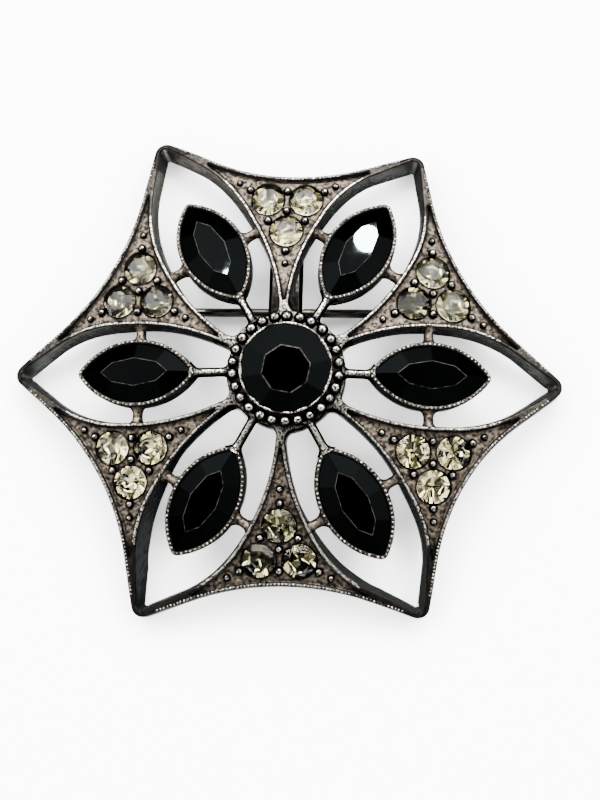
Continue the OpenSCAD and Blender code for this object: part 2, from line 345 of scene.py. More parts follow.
def petal_side(s, grow=0.0):
    """One side of a petal opening, from its inner end to its rounded outer end."""
    lean = math.degrees(s.petal_end_angle)
    inner = (s.petal_reach, s.petal_half_width - s.petal_inner_radius)
    outer = (s.petal_reach + s.petal_middle, s.petal_half_width - s.petal_outer_radius)
    points = arc(inner, s.petal_inner_radius + grow, 117, 90, 32)
    return points + arc(outer, s.petal_outer_radius + grow, 90, 90 - lean, 16)


def petal_end(s):
    """Centre of the round that closes a petal opening's outer end."""
    lean = s.petal_end_angle
    x = s.petal_reach + s.petal_middle + s.petal_outer_radius * math.sin(lean)
    y = s.petal_half_width - s.petal_outer_radius * (1 - math.cos(lean))
    return x + y / math.tan(lean) - s.petal_end_radius / math.sin(lean), 0.0


def petal_outline(s, first, grow=0.0, lean_in=None):
    """Outline of the petal opening along +X, from its first reach: at its top, or drawn in as at its foot.

    At the foot the side below the X axis comes in by lean_in more than the other.
    """
    lean = math.degrees(s.petal_end_angle)
    close = 0.02
    steepest = 0.6
    side = [p for p in petal_side(s, grow) if math.hypot(*p) > first + s.petal_corner]
    bearing = math.atan2(side[0][1], side[0][0])
    inset = math.degrees(bearing - s.petal_corner / first)
    corner = toward(math.degrees(bearing - close), first)
    side = curve(toward(inset, first), corner, side[0], 6)[:-1] + side
    end = arc(petal_end(s), s.petal_end_radius + grow, 90 - lean, lean - 90, 9)
    start = arc((0, 0), first, -inset, inset, 9)[1:-1]
    outline = side + end + mirrored(side) + start
    if lean_in is None:
        return outline
    last = max(x for x, y in outline)
    drawn = []
    for x, y in outline:
        draft = s.side_draft * eased(x, *SIDE_LEAN)
        if y < 0:
            draft += lean_in * part_way(x, *MORE_LEAN)
        aside = math.copysign(min(steepest * abs(y), draft), y)
        drawn.append((x - s.end_draft * part_way(x, last - END_LEAN, last) ** 2, y - aside))
    return drawn


def floor_outline(s):
    """Outline of the recessed floor of the plate beside the point along +X."""
    lean = math.degrees(s.petal_end_angle)
    blunt = 0.16
    half = math.radians(SECTOR / 2)
    outer = edge_line(s, s.rim_width)
    line = np.array(spaced(outer, 0.1))
    end = arc(petal_end(s), s.petal_end_radius + s.rim_width, 90 - lean, 80 - lean, 2)
    side = spaced(petal_side(s, s.rim_width) + end, 0.35)
    side = [p for p in side if p[1] > 0 and math.atan2(p[1], p[0]) < half - blunt / 2 / math.hypot(*p)]
    gap = [np.hypot(*(line - p).T).min() for p in side]
    side = side[:gap.index(min(gap))]
    side = [p for p, near in zip(side, gap) if near > blunt]
    bearing = half - math.atan2(side[-1][1], side[-1][0])
    outer = [p for p in spaced(outer, 0.3) if abs(half - math.atan2(p[1], p[0])) < bearing]
    return side + outer + mirrored(side, SECTOR / 2)


def navette_outline(half_length, half_width, tip_radius):
    """A pointed oval: two equal arcs, joined by a small round at either end."""
    across = half_width - tip_radius
    radius = ((half_length - tip_radius) ** 2 + half_width ** 2 - tip_radius ** 2) / (2 * across)
    end = half_length - tip_radius
    lean = math.degrees(math.atan2(radius - half_width, end))
    side = arc((0, half_width - radius), radius, lean, 180 - lean, 24)
    tip = arc((-end, 0), tip_radius, 180 - lean, 180 + lean, 6)[1:-1]
    half = side + tip
    return half + turned(half, 180)


def support(points, direction):
    """How far the outline reaches in a direction."""
    across, up = toward(direction)
    return max(x * across + y * up for x, y in points)


def spaced(points, pitch, closed=False):
    """Points at even steps of about the pitch along the line through the given ones."""
    line = np.array(points + points[:1] if closed else points)
    steps = np.hypot(*np.diff(line, axis=0).T)
    along = np.concatenate([[0], np.cumsum(steps)])
    count = max(2, round(along[-1] / pitch))
    places = np.linspace(0, along[-1], count + 1)
    if closed:
        places = places[:-1]
    x, y = (np.interp(places, along, line[:, axis]).tolist() for axis in (0, 1))
    return list(zip(x, y))


# Modelling


def pick(piece):
    """Leaves only this piece selected, and makes it the active one."""
    if bpy.context.object and bpy.context.object.mode != "OBJECT":
        bpy.ops.object.mode_set(mode="OBJECT")
    bpy.context.tool_settings.mesh_select_mode = (False, False, True)
    bpy.ops.object.select_all(action="DESELECT")
    if piece:
        piece.select_set(True)
        bpy.context.view_layer.objects.active = piece


def ball(subdivisions):
    """A bead of one millimetre."""
    pick(None)
    bpy.ops.mesh.primitive_ico_sphere_add(subdivisions=subdivisions, radius=0.5)
    return bpy.context.object


def rod(sides, radius, depth, middle=(0, 0, 0), turn=(0, 0, 0)):
    """A round rod that stands upright, or is turned, about its middle."""
    pick(None)
    bpy.ops.mesh.primitive_cylinder_add(
        vertices=sides, radius=radius, depth=depth, location=middle, rotation=turn)
    bpy.ops.object.transform_apply(location=True, rotation=True, scale=True)
    return bpy.context.object


def prism(points, low, high, low_points=None):
    """A block with the given outline, and another outline at its foot if low_points has one.

    It starts as a filled circle, whose corners are drawn out to the points.
    """
    pick(None)
    bpy.ops.mesh.primitive_circle_add(vertices=len(points), radius=1, fill_type="NGON")
    piece = bpy.context.object
    for corner, (x, y) in zip(piece.data.vertices, points):
        corner.co = (x, y, high)
    bpy.ops.object.mode_set(mode="EDIT")
    bpy.ops.mesh.select_all(action="SELECT")
    bpy.ops.mesh.extrude_region_move(TRANSFORM_OT_translate={"value": (0, 0, low - high)})
    bpy.ops.mesh.select_all(action="SELECT")
    bpy.ops.mesh.normals_make_consistent(inside=False)
    bpy.ops.object.mode_set(mode="OBJECT")
    if low_points:
        top = np.array(points)
        for corner in piece.data.vertices:
            if corner.co.z < (low + high) / 2:
                nearest = np.argmin(np.hypot(*(top - np.array(corner.co.xy)).T))
                corner.co.x, corner.co.y = low_points[nearest]
    return piece


def copies(source, places):
    """One mesh of copies of the source, one at each place. The source is used up."""
    corners = np.array([v.co[:] + (1.0,) for v in source.data.vertices])
    sides = [list(face.vertices) for face in source.data.polygons]
    count = len(corners)
    faces = [[corner + i * count for corner in side] for i in range(len(places)) for side in sides]
    points = np.concatenate([(corners @ np.array(place).T)[:, :3] for place in places])
    mesh = bpy.data.meshes.new("copies")
    mesh.from_pydata(points.tolist(), [], faces)
    piece = bpy.data.objects.new("copies", mesh)
    bpy.context.collection.objects.link(piece)
    bpy.data.objects.remove(source)
    return piece


def modify(piece, kind, **settings):
    """Adds a modifier with its settings, and applies it."""
    pick(piece)
    step = piece.modifiers.new("Step", kind)
    for name, value in settings.items():
        setattr(step, name, value)
    bpy.ops.object.modifier_apply(modifier=step.name)


def carve(piece, other):
    """Cuts the other piece out of this one. The other is used up."""
    modify(piece, "BOOLEAN", operation="DIFFERENCE", object=other, solver="EXACT")
    bpy.data.objects.remove(other)


def soften(piece, width, segments=2, limit=35):
    """Rounds the edges that are sharper than the limit, in degrees."""
    modify(piece, "BEVEL", width=width, segments=segments, limit_method="ANGLE",
           angle_limit=math.radians(limit), use_clamp_overlap=False)


def cut(piece, planes, **how):
    """Cuts the faces by planes, each given as a point and a normal."""
    pick(piece)
    bpy.ops.object.mode_set(mode="EDIT")
    for point, normal in planes:
        bpy.ops.mesh.select_all(action="SELECT")
        bpy.ops.mesh.bisect(plane_co=point, plane_no=normal, threshold=1e-4, **how)
    bpy.ops.object.mode_set(mode="OBJECT")


def slice_up(piece, pitch, reach):
    """Cuts the faces by planes along X and along Y, so that they can follow the dome."""
    cut(piece, [(normal * place, normal) for normal in (Vector((1, 0, 0)), Vector((0, 1, 0)))
                for place in np.arange(-reach, reach, pitch).tolist()])


def grind(piece, planes):
    """Cuts flat facets: past each plane the stone goes, and the cut is filled."""
    cut(piece, planes, use_fill=True, clear_outer=True)


def step_top(piece, width, rise):
    """Insets the topmost face and moves it up or down as a step."""
    top = max(face.center.z for face in piece.data.polygons if face.normal.z > 0.9)
    for face in piece.data.polygons:
        face.select = face.normal.z > 0.9 and face.center.z > top - 0.01
    pick(piece)
    bpy.ops.object.mode_set(mode="EDIT")
    bpy.ops.mesh.select_mode(type="FACE")
    bpy.ops.mesh.inset(thickness=width)
    bpy.ops.mesh.extrude_region_move(TRANSFORM_OT_translate={"value": (0, 0, rise)})
    bpy.ops.object.mode_set(mode="OBJECT")


def facet(direction, inner, inner_height, outer, outer_height):
    """Plane of a facet that faces a direction: it runs from an inner reach and height to an outer one."""
    x, y = toward(direction)
    fall = inner_height - outer_height
    run = math.copysign(outer - inner, fall)
    normal = Vector((abs(fall) * x, abs(fall) * y, run)).normalized()
    return (outer * x, outer * y, outer_height), normal


def rub(piece, s, steep):
    """Notes how much each point has been rubbed: all on high, level places, nothing on low or steep ones."""
    low = -0.45
    high = 0.05
    level = 0.99
    mesh = piece.data
    places = np.empty(3 * len(mesh.vertices))
    normals = np.empty(3 * len(mesh.vertices))
    mesh.vertices.foreach_get("co", places)
    mesh.vertices.foreach_get("normal", normals)
    outwards = places.reshape(-1, 3) - (0, 0, dome_centre(s))
    reach = np.linalg.norm(outwards, axis=1)
    facing = (normals.reshape(-1, 3) * outwards).sum(axis=1) / reach
    height = reach - s.dome_radius
    share = np.clip((facing - steep) / (level - steep), 0, 1) * np.clip((height - low) / (high - low), 0, 1)
    mesh.attributes.new("rub", "FLOAT", "POINT").data.foreach_set("value", share)


def finish(name, piece, materials, slot="casting", node=None, limit=35, flat=False, steep=0.9):
    """Names a piece, brings it to metres, smooths it, gives it its materials and has it ride on the brooch.

    Edges over the limit, in degrees, stay sharp. Places steeper than steep, a cosine, aren't rubbed.
    """
    piece.name = piece.data.name = name
    rub(piece, sizes(), steep)
    piece.data.transform(Matrix.Scale(MM, 4))
    pick(piece)
    if flat:
        bpy.ops.object.shade_flat()
    else:
        bpy.ops.object.shade_smooth_by_angle(angle=math.radians(limit))
    for material in materials:
        piece.data.materials.append(material)
    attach(piece, BODY)
    if node:
        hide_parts(node)


def finish_black(name, stone, node):
    """Finishes a black stone, which is ground dull on the narrow faces along the edges of its table."""
    finish(name, stone, [black_glass(), worn_glass()], "black_glass", node, flat=True)
    steepest = 0.93
    level = 0.9995
    lowest = -0.04 * MM
    table = max(stone.data.polygons, key=lambda face: face.area * (face.normal.z > 0.9))
    for face in stone.data.polygons:
        leaning = steepest < face.normal.dot(table.normal) < level
        if leaning and (face.center - table.center).dot(table.normal) > lowest:
            face.material_index = 1


# Materials


def add(tree, kind, settings=None, **links):
    """Adds a node of a kind to a tree, with its settings, and links or sets its inputs.

    An input goes by its name, or by i and its number. A node given for one stands for its first output.
    """
    node = tree.nodes.new(kind)
    for name, value in (settings or {}).items():
        setattr(node, name, value)
    for name, value in links.items():
        key = int(name[1:]) if name[0] == "i" and name[1:].isdigit() else name.replace("_", " ")
        if isinstance(value, bpy.types.Node):
            value = value.outputs[0]
        if isinstance(value, bpy.types.NodeSocket):
            tree.links.new(value, node.inputs[key])
        else:
            node.inputs[key].default_value = value
    return node


def new_material(name):
    """A material with an empty node tree, and its tree."""
    made = bpy.data.materials.get(name)
    if made:
        return made, None
    made = bpy.data.materials.new(name)
    made.use_nodes = True
    made.node_tree.nodes.clear()
    return made, made.node_tree


def surface(tree, **inputs):
    """The shader and the output of a material."""
    add(tree, "ShaderNodeOutputMaterial", Surface=add(tree, "ShaderNodeBsdfPrincipled", **inputs))


def plain(name, **inputs):
    """A material that is the same all over."""
    made, tree = new_material(name)
    if tree:
        surface(tree, **inputs)
    return made


def tint(name):
    """One of the colours that a user would change, with full alpha."""
    return (*getattr(bpy.context.scene.brooch_finish, name), 1.0)


def grain(tree, size, detail=3.0, stretch=(1, 1, 1)):
    """Blotches, pits or strokes of about size millimetres across, as a value from 0 to 1."""
    place = add(tree, "ShaderNodeTexCoord").outputs["Object"]
    scaled = add(tree, "ShaderNodeMapping", Vector=place, Scale=stretch)
    noise = add(tree, "ShaderNodeTexNoise", Vector=scaled, Scale=1 / (size * MM), Detail=detail)
    return noise.outputs["Fac"]


def antiqued(name, over, rough, hollow, shine=1.0, bump=0.5, size=0.18, stretch=(1, 1, 1),
             patches=(0.33, 0.15)):
    """White metal, blackened and rubbed: black in hollows, the given colour elsewhere, bright along edges.

    Hollow is how open a place is where it is black, and where it has the colour. Patches are the noise's
    value and the share of the colour in the darkest ones. Size and stretch are those of the pits or strokes.
    On the real casting these are finer than a tenth of a millimetre. Here they are as coarse as they need
    to be to show.
    """
    made, tree = new_material(name)
    if tree:
        times = {"operation": "MULTIPLY"}
        rgba = {"data_type": "RGBA"}
        # How open a place is, looking as far as 0.6 mm, and how its patches vary, over about 0.35 mm
        around = add(tree, "ShaderNodeAmbientOcclusion", {"samples": 6}, Distance=0.6 * MM).outputs["AO"]
        open_air = add(tree, "ShaderNodeMapRange", Value=around, From_Min=hollow[0], From_Max=hollow[1])
        mottle = add(tree, "ShaderNodeMapRange", Value=grain(tree, 0.35, stretch=stretch),
                     From_Min=patches[0], From_Max=0.62, To_Min=patches[1])
        kept = add(tree, "ShaderNodeMath", times, i0=open_air, i1=mottle)
        metal = add(tree, "ShaderNodeMix", rgba, i0=kept, i6=tint("dark"), i7=over).outputs[2]
        # Where the blackening has been rubbed off, in specks of about 0.16 mm
        rubbed = add(tree, "ShaderNodeAttribute", {"attribute_name": "rub"}).outputs["Fac"]
        specks = add(tree, "ShaderNodeMapRange", Value=grain(tree, 0.16, 2), From_Min=0.44, From_Max=0.6,
                     To_Max=shine)
        worn = add(tree, "ShaderNodeMath", times, i0=rubbed, i1=specks)
        bright = add(tree, "ShaderNodeMath", times, i0=worn, i1=open_air)
        coat = add(tree, "ShaderNodeMix", rgba, i0=bright, i6=metal, i7=tint("rubbed")).outputs[2]
        satin = add(tree, "ShaderNodeMapRange", Value=bright, To_Min=rough, To_Max=0.25)
        coarse = add(tree, "ShaderNodeBump", Strength=bump, Distance=0.09 * MM,
                     Height=grain(tree, 3 * size, 1))
        fine = add(tree, "ShaderNodeBump", Strength=bump, Distance=0.04 * MM,
                   Height=grain(tree, size, stretch=stretch), Normal=coarse)
        surface(tree, Base_Color=coat, Metallic=1.0, Roughness=satin, Specular_Tint=tint("sheen"),
                Normal=fine)
    return made


def rim_metal():
    """Antiqued white metal on rims and bezels: black in the hollows, silver along the rubbed tops."""
    return antiqued("antiqued white metal, rims", tint("black"), rough=0.38, hollow=(0.4, 0.85))


def bead_metal():
    """Antiqued white metal on the beads: black and glossy, with a bright worn top."""
    return antiqued("antiqued white metal, beads", tint("black"), rough=0.2, hollow=(0.45, 0.9), bump=0.25)


def floor_metal():
    """Rosy patina on the recessed floors: a dull, rough bloom, black round everything that stands on it."""
    return antiqued("antiqued white metal, rosy patina", tint("rose"), rough=0.45, hollow=(0.6, 0.93),
                    shine=0.0, bump=0.9, size=0.12, patches=(0.4, 0.08))


def wall_metal(kind="satin", shade="wall"):
    """Plain cast walls: satin, with faint strokes along them. Some are painted lighter or darker, as painted
    light and painted shade.
    """
    return antiqued(f"antiqued white metal, {kind} walls", tint(shade), rough=0.38, hollow=(0.05, 0.3),
                    shine=0.0, bump=0.25, size=0.3, stretch=(0.6, 0.6, 3), patches=(0.3, 0.5))


def rail_metal():
    """Brown patina on the rails near the points and on the bezels: satin, streaked and pitted."""
    return antiqued("antiqued white metal, brown rails", tint("rail"), rough=0.38, hollow=(0.3, 0.8),
                    shine=0.05, bump=0.9, size=0.2)


def strap_metal():
    """Dark strap: blackened and glossy, with strokes from end to end."""
    return antiqued("antiqued white metal, strap", tint("black"), rough=0.22, hollow=(0.05, 0.4), shine=0.0,
                    bump=0.6, size=0.3, stretch=(3, 0.3, 1))


def black_glass():
    """Pressed black glass: opaque, polished flat facets with a mirror gloss."""
    made, tree = new_material("jet black pressed glass")
    if tree:
        haze = add(tree, "ShaderNodeMapRange", Value=grain(tree, 0.8), From_Min=0.4, From_Max=0.75,
                   To_Min=0.01, To_Max=0.025)
        surface(tree, Base_Color=tint("black_glass"), Roughness=haze, IOR=1.53, Specular_IOR_Level=0.005,
                Specular_Tint=tint("glass_sheen"))
    return made


def worn_glass():
    """Black glass along the worn edges of the facets: ground dull and grey in places."""
    made, tree = new_material("black glass, worn edges")
    if tree:
        spots = add(tree, "ShaderNodeMapRange", Value=grain(tree, 0.4), From_Min=0.42, From_Max=0.58)
        grey = add(tree, "ShaderNodeMix", {"data_type": "RGBA"}, i0=spots, i6=tint("black_glass"),
                   i7=tint("worn_glass")).outputs[2]
        surface(tree, Base_Color=grey, Roughness=0.4, IOR=1.53, Specular_IOR_Level=0.02)
    return made


def clear_glass():
    """Lead crystal: clear, faintly yellow, polished."""
    return plain("clear crystal glass", Base_Color=tint("clear_glass"), Roughness=0.0, IOR=1.56,
                 Transmission_Weight=1.0, Specular_Tint=(0.1, 0.1, 0.1, 1))


def foil():
    """Silvered and lacquered foil on the back of the clear stones: a pale yellow mirror."""
    return plain("silvered foil", Base_Color=tint("foil"), Metallic=1.0, Roughness=0.0)


def painted_shade_foil():
    """Foil painted near black on some back facets, as painted shade for facets that would mirror darkness.
    """
    return plain("silvered foil, painted shade", Base_Color=tint("painted_shade_foil"), Metallic=1.0, Roughness=0.05)


def pin_steel():
    """Drawn steel wire: dark, worn bright in patches along its length."""
    made, tree = new_material("drawn steel wire, worn")
    if tree:
        streaks = add(tree, "ShaderNodeMapRange", Value=grain(tree, 0.3, stretch=(0.15, 1, 1)), From_Min=0.4,
                      From_Max=0.62)
        worn = add(tree, "ShaderNodeMix", {"data_type": "RGBA"}, i0=streaks, i6=tint("dark"),
                   i7=tint("steel")).outputs[2]
        surface(tree, Base_Color=worn, Metallic=1.0, Roughness=0.3)
    return made


def table_top():
    """Pale, smooth table."""
    return plain("pale matt board", Base_Color=tint("table"), Roughness=0.7)


# Pieces


class BROOCH_OT_casting(bpy.types.Operator):
    """Build the domed, pierced star with its recessed plates"""

    bl_idname = "brooch.casting"
    bl_label = "Cast Star"

    def execute(self, context):
        s = sizes()
        star = prism(star_outline(s), -s.depth, 0)
        for degrees in TIPS:
            first = s.petal_start + ring_shift(s, degrees)
            opening = prism(petal_outline(s, first), -s.depth - 0.05, 0.05,
                            petal_outline(s, first, -s.draft, PETAL_LEANS.get(degrees, 0)))
            opening.data.transform(turn_about("Z", degrees))
            carve(star, opening)
        recess = prism(floor_outline(s), -s.floor_depth, 1)
        carve(star, copies(recess, [turn_about("Z", degrees) for degrees in TIPS]))
        play = 0.04
        drill = 3
        left = 0.4
        seats = []
        for plate in PLATES:
            for direction in STONE_LETTERS.values():
                x, y = on_plate(s, plate, s.chaton_offset, direction)
                seats.append(Matrix.Translation((x, y, left + drill / 2 - s.depth)))
        carve(star, copies(rod(40, s.chaton / 2 + play, drill), seats))
        soften(star, s.rim_round, 4)
        slice_up(star, 1.5, s.tip_reach)
        lay_on_dome(s, star)
        self.dress(s, star)
        return {"FINISHED"}

    def dress(self, s, star):
        """Gives the walls, floors, rails and rims their own finishes, with painted light and painted shade
        on some walls inside the openings.
        """
        wall_slope = 0.52
        walls_by_ring = 7
        dark_nose = 1.2
        brown_rail = 5.2
        lower_points = -12
        least_rubbed = 0.35
        # Walls painted lighter and darker: painted light and painted shade
        walls = [wall_metal("painted-lit", "clean_wall"), wall_metal("black", "black_wall")]
        metals = [rim_metal(), wall_metal(), floor_metal(), rail_metal(), strap_metal()] + walls
        finish("star_casting", star, metals, node="frame")
        worn = star.data.attributes["rub"].data
        for point in star.data.vertices:
            worn[point.index].value *= max(least_rubbed, part_way(point.co.xy.length / MM, 5, 10))
        for face in star.data.polygons:
            x, y, z = face.center / MM
            reach = math.hypot(x, y)
            to_tip = s.tip_reach - reach
            if face.normal.z < wall_slope:
                face.material_index = STRAP if reach < walls_by_ring else self.wall_finish(x, y, face.normal)
            elif z - dome_height(s, x, y) < -0.6 * s.floor_depth:
                face.material_index = FLOOR
            elif to_tip < brown_rail:
                face.material_index = STRAP if to_tip < dark_nose or y < lower_points else RAIL

    def wall_finish(self, x, y, normal):
        """The finish of a wall or the back: inside the left openings, painted lighter above as painted
        light, and painted darker below as painted shade.
        """
        tip = round(math.degrees(math.atan2(y, x)) / SECTOR) * SECTOR % 360
        along_x, along_y = toward(tip)
        aside = Vector((-along_y, along_x, 0))
        inside = normal.z > -0.6 and normal.dot(aside) * aside.dot((x, y, 0)) < 0
        # Painted light on the walls inside the upper left opening, painted shade on those inside the lower
        # left one
        return {120: PAINTED_LIT_WALL, 240: PAINTED_SHADED_WALL}.get(tip, WALL) if inside else WALL


class BROOCH_OT_plate_beads(bpy.types.Operator):
    """Set ten beads on each plate"""

    bl_idname = "brooch.plate_beads"
    bl_label = "Plate Beads"

    def execute(self, context):
        s = sizes()
        near = 2.0
        far = 4.1
        corner = 5.35
        spots = [(0, 0, s.bead)] + [(near, direction, s.bead) for direction in (0, 120, -120)]
        for direction in STONE_LETTERS.values():
            spots += [(far, direction, s.bead), (corner, direction, s.corner_bead)]
        places = []
        for plate in PLATES:
            for offset, direction, size in spots:
                spot = on_plate(s, plate, offset, direction)
                places.append(seat_on_dome(s, *spot, 0.08 - s.floor_depth) @ Matrix.Scale(size, 4))
        finish("plate_beads", copies(ball(3), places), [bead_metal()], limit=60, steep=0.75)
        return {"FINISHED"}


class BROOCH_OT_rim_grain(bpy.types.Operator):
    """Run rows of tiny beads along the outer rims"""

    bl_idname = "brooch.rim_grain"
    bl_label = "Rim Grain"

    def execute(self, context):
        s = sizes()
        sunk = 0.06
        gap = 1.1
        run = 3.2
        row = spaced(edge_line(s, s.rim_width / 2, run), s.grain * gap)
        chance = random.Random(7)
        places = []
        for degrees in TIPS:
            for x, y in turned(row, degrees):
                spot = (*as_cast(x, y), float(dome_height(s, x, y)) - sunk)
                size = s.grain * chance.uniform(0.8, 1.15)
                places.append(Matrix.Translation(spot) @ Matrix.Scale(size, 4))
        finish("rim_grain", copies(ball(2), places), [rim_metal()], limit=60, steep=0.6)
        return {"FINISHED"}


class BROOCH_OT_bezels(bpy.types.Operator):
    """Build the six bezels with their beaded edges, bars and stems"""

    bl_idname = "brooch.bezels"
    bl_label = "Bezels"

    def execute(self, context):
        s = sizes()
        for degrees in TIPS:
            place = on_tip_line(s, degrees)
            number = f"{degrees:.0f}"
            cup = self.cup(s)
            self.mount(cup, "bezel_" + number, place, [rail_metal(), wall_metal()])
            self.darken_walls(cup)
            self.mount(self.bars(s), "bezel_bars_" + number, place, [floor_metal()])
            self.mount(self.stem(s, degrees), "bezel_stem_" + number, place, [rim_metal()], steep=0.8)
            self.mount(self.grains(s), "bezel_grain_" + number, place, [rim_metal()], limit=60, steep=0.7)
        return {"FINISHED"}

    def mount(self, piece, name, place, metals, **look):
        """Moves a piece that was modelled at the middle to its place, and finishes it."""
        piece.data.transform(place)
        finish(name, piece, metals, **look)

    def cup(self, s):
        """The bezel: a block with the stone's outline, hollowed from the front."""
        outline = navette_outline(s.bezel_length / 2, s.bezel_width / 2, 0.6)
        cup = prism(outline, -s.bezel_depth, s.bezel_rise)
        step_top(cup, s.bezel_wall, -0.9)
        soften(cup, 0.09)
        return cup

    def darken_walls(self, cup):
        """Gives the outside of the bezel the finish of the walls."""
        for face in cup.data.polygons:
            if face.normal.z < 0.3:
                face.material_index = 1

    def bars(self, s):
        """The two cross bars, each flared at both ends where the solder has run."""
        inner = s.bezel_width / 2 - 0.2
        outer = s.petal_half_width + 0.2
        bar = self.bar(s.bar_width, inner, outer, 0.4)
        return copies(bar, [turn_about("Z", side) for side in (90, -90)])

    def stem(self, s, degrees):
        """The stem from the bezel to the ring."""
        ring = s.navette_reach - s.ring / 2 - ring_shift(s, degrees) + 0.35
        return copies(self.bar(s.stem_width, s.bezel_length / 2 - 0.45, ring, 0.02), [turn_about("Z", 180)])

    def bar(self, width, start, end, drop):
        """A bar between two places along the X axis, that much below the dome and wider at its ends."""
        bar = rod(20, 0.5, 1, turn=(0, math.pi / 2, 0))
        slice_up(bar, 1 / 14, 0.5)
        solder = 0.75
        wider = 1.2
        higher = 0.3
        thickness = 1.15
        for corner in bar.data.vertices:
            flare = max(0.0, 1 - (0.5 - abs(corner.co.x)) * (end - start) / solder) ** 2
            corner.co.y *= width + wider * flare
            corner.co.z = (corner.co.z - 0.5) * thickness - drop + higher * flare
            corner.co.x = start + (end - start) * (corner.co.x + 0.5)
        return bar

    def grains(self, s):
        """A row of tiny beads along the bezel's edge."""
        inset = s.bezel_wall / 2
        sunk = 0.09
        gap = 1.12
        tip = 0.45
        line = navette_outline(s.bezel_length / 2 - inset, s.bezel_width / 2 - inset, tip)
        chance = random.Random(5)
        places = []
        for x, y in spaced(line, gap * s.bezel_grain, closed=True):
            size = s.bezel_grain * chance.uniform(0.85, 1.12)
            places.append(Matrix.Translation((x, y, s.bezel_rise - sunk)) @ Matrix.Scale(size, 4))
        return copies(ball(2), places)


class BROOCH_OT_centre(bpy.types.Operator):
    """Build the beaded ring and the cup of the centre stone"""

    bl_idname = "brooch.centre"
    bl_label = "Centre Ring"

    def execute(self, context):
        s = sizes()
        apex = float(dome_height(s, 0, 0))
        place = Matrix.Translation((s.ring_aside, s.ring_up, 0))
        hole = s.ring_opening / 2
        lip = hole + 0.24
        body = s.ring / 2 - 0.5
        rise = 0.35
        ring = rod(96, body, s.depth + rise, (0, 0, apex + (rise - s.depth) / 2))
        step_top(ring, body - lip, 0.45)
        step_top(ring, lip - hole, -1.5)
        self.wobble(ring, hole, lip, apex + 0.5)
        soften(ring, 0.1)
        ring.data.transform(place)
        finish("centre_ring", ring, [rim_metal(), strap_metal()])
        for face in ring.data.polygons:
            if face.center.z < (apex + 0.55) * MM:
                face.material_index = 1
        self.beads(s, place, apex + 0.38)
        return {"FINISHED"}

    def wobble(self, ring, hole, lip, low):
        """Makes the lip's inner edge uneven, as a lip that was rubbed over by hand is."""
        for corner in ring.data.vertices:
            reach = math.hypot(corner.co.x, corner.co.y)
            if corner.co.z > low and reach < (hole + lip) / 2:
                turn = math.atan2(corner.co.y, corner.co.x)
                push = 0.05 * math.sin(7 * turn + 1) + 0.03 * math.sin(17 * turn)
                push += 0.02 * math.sin(31 * turn + 2)
                corner.co.x *= 1 + push / reach
                corner.co.y *= 1 + push / reach

    def beads(self, s, place, height):
        """The row of beads round the ring, a little uneven in size and spacing."""
        middle = s.ring / 2 - s.ring_bead / 2 + 0.04
        chance = random.Random(3)
        places = []
        for i in range(s.ring_beads):
            turn = turn_about("Z", 360 * (i + 0.5 + chance.uniform(-0.06, 0.06)) / s.ring_beads)
            size = s.ring_bead * chance.uniform(0.92, 1.03)
            shape = Matrix.Diagonal((size, size * chance.uniform(1.0, 1.12), size, 1))
            places.append(place @ turn @ Matrix.Translation((middle, 0, height)) @ shape)
        finish("ring_beads", copies(ball(3), places), [bead_metal()], limit=60, steep=0.75)


class BROOCH_OT_strap(bpy.types.Operator):
    """Build the half-round strap behind the top plate"""

    bl_idname = "brooch.strap"
    bl_label = "Back Strap"

    def execute(self, context):
        s = sizes()
        start = 4.8
        end = 12.6
        width = 3.2
        thickness = 0.95
        lean = -6.6
        top = dome_centre(s) + math.sqrt((s.dome_radius - s.depth) ** 2 - start ** 2) + 0.2
        strap = rod(64, width / 2, end - start, (0, (end - start) / 2, 0), (math.pi / 2, 0, 0))
        grind(strap, [((0, 0, 0), (0, 0, -1)), ((0, 0, thickness), (0, 0, 1))])
        soften(strap, 0.12, 3)
        strap.data.transform(Matrix.Translation((0, start, top - thickness)) @ turn_about("X", lean))
        finish("back_strap", strap, [strap_metal()])
        return {"FINISHED"}


class BROOCH_OT_long_stones(bpy.types.Operator):
    """Cut the six black pointed ovals"""

    bl_idname = "brooch.long_stones"
    bl_label = "Long Stones"

    def execute(self, context):
        s = sizes()
        for degrees in TIPS:
            number = f"{degrees:.0f}"
            stone = self.cut_stone(s)
            stone.data.transform(on_tip_line(s, degrees))
            finish_black("long_stone_" + number, stone, "navette_" + number)
        return {"FINISHED"}

    def cut_stone(self, s):
        """One pointed oval: a long table, two side facets and two tip facets a side, and as many below."""
        gap = s.bezel_wall + 0.06
        outline = navette_outline(s.bezel_length / 2 - gap, s.bezel_width / 2 - gap, 0.25)
        top = 0.65
        girdle = -0.1
        half_girdle = 0.06
        culet = -0.85
        # The direction of each facet, counted from the side, and its inner reach above and below
        facets = ((11.2, 1.27, 0.35), (-11.2, 1.27, 0.35), (40, 2.04, 0.9), (-40, 2.04, 0.9))
        stone = prism(outline, culet, top)
        planes = []
        for side in (90, -90):
            for turn, table, back in facets:
                reach = support(outline, side + turn)
                planes.append(facet(side + turn, table, top, reach, girdle + half_girdle))
                planes.append(facet(side + turn, back, culet, reach, girdle - half_girdle))
        grind(stone, planes)
        soften(stone, 0.027, 1, 8)
        return stone


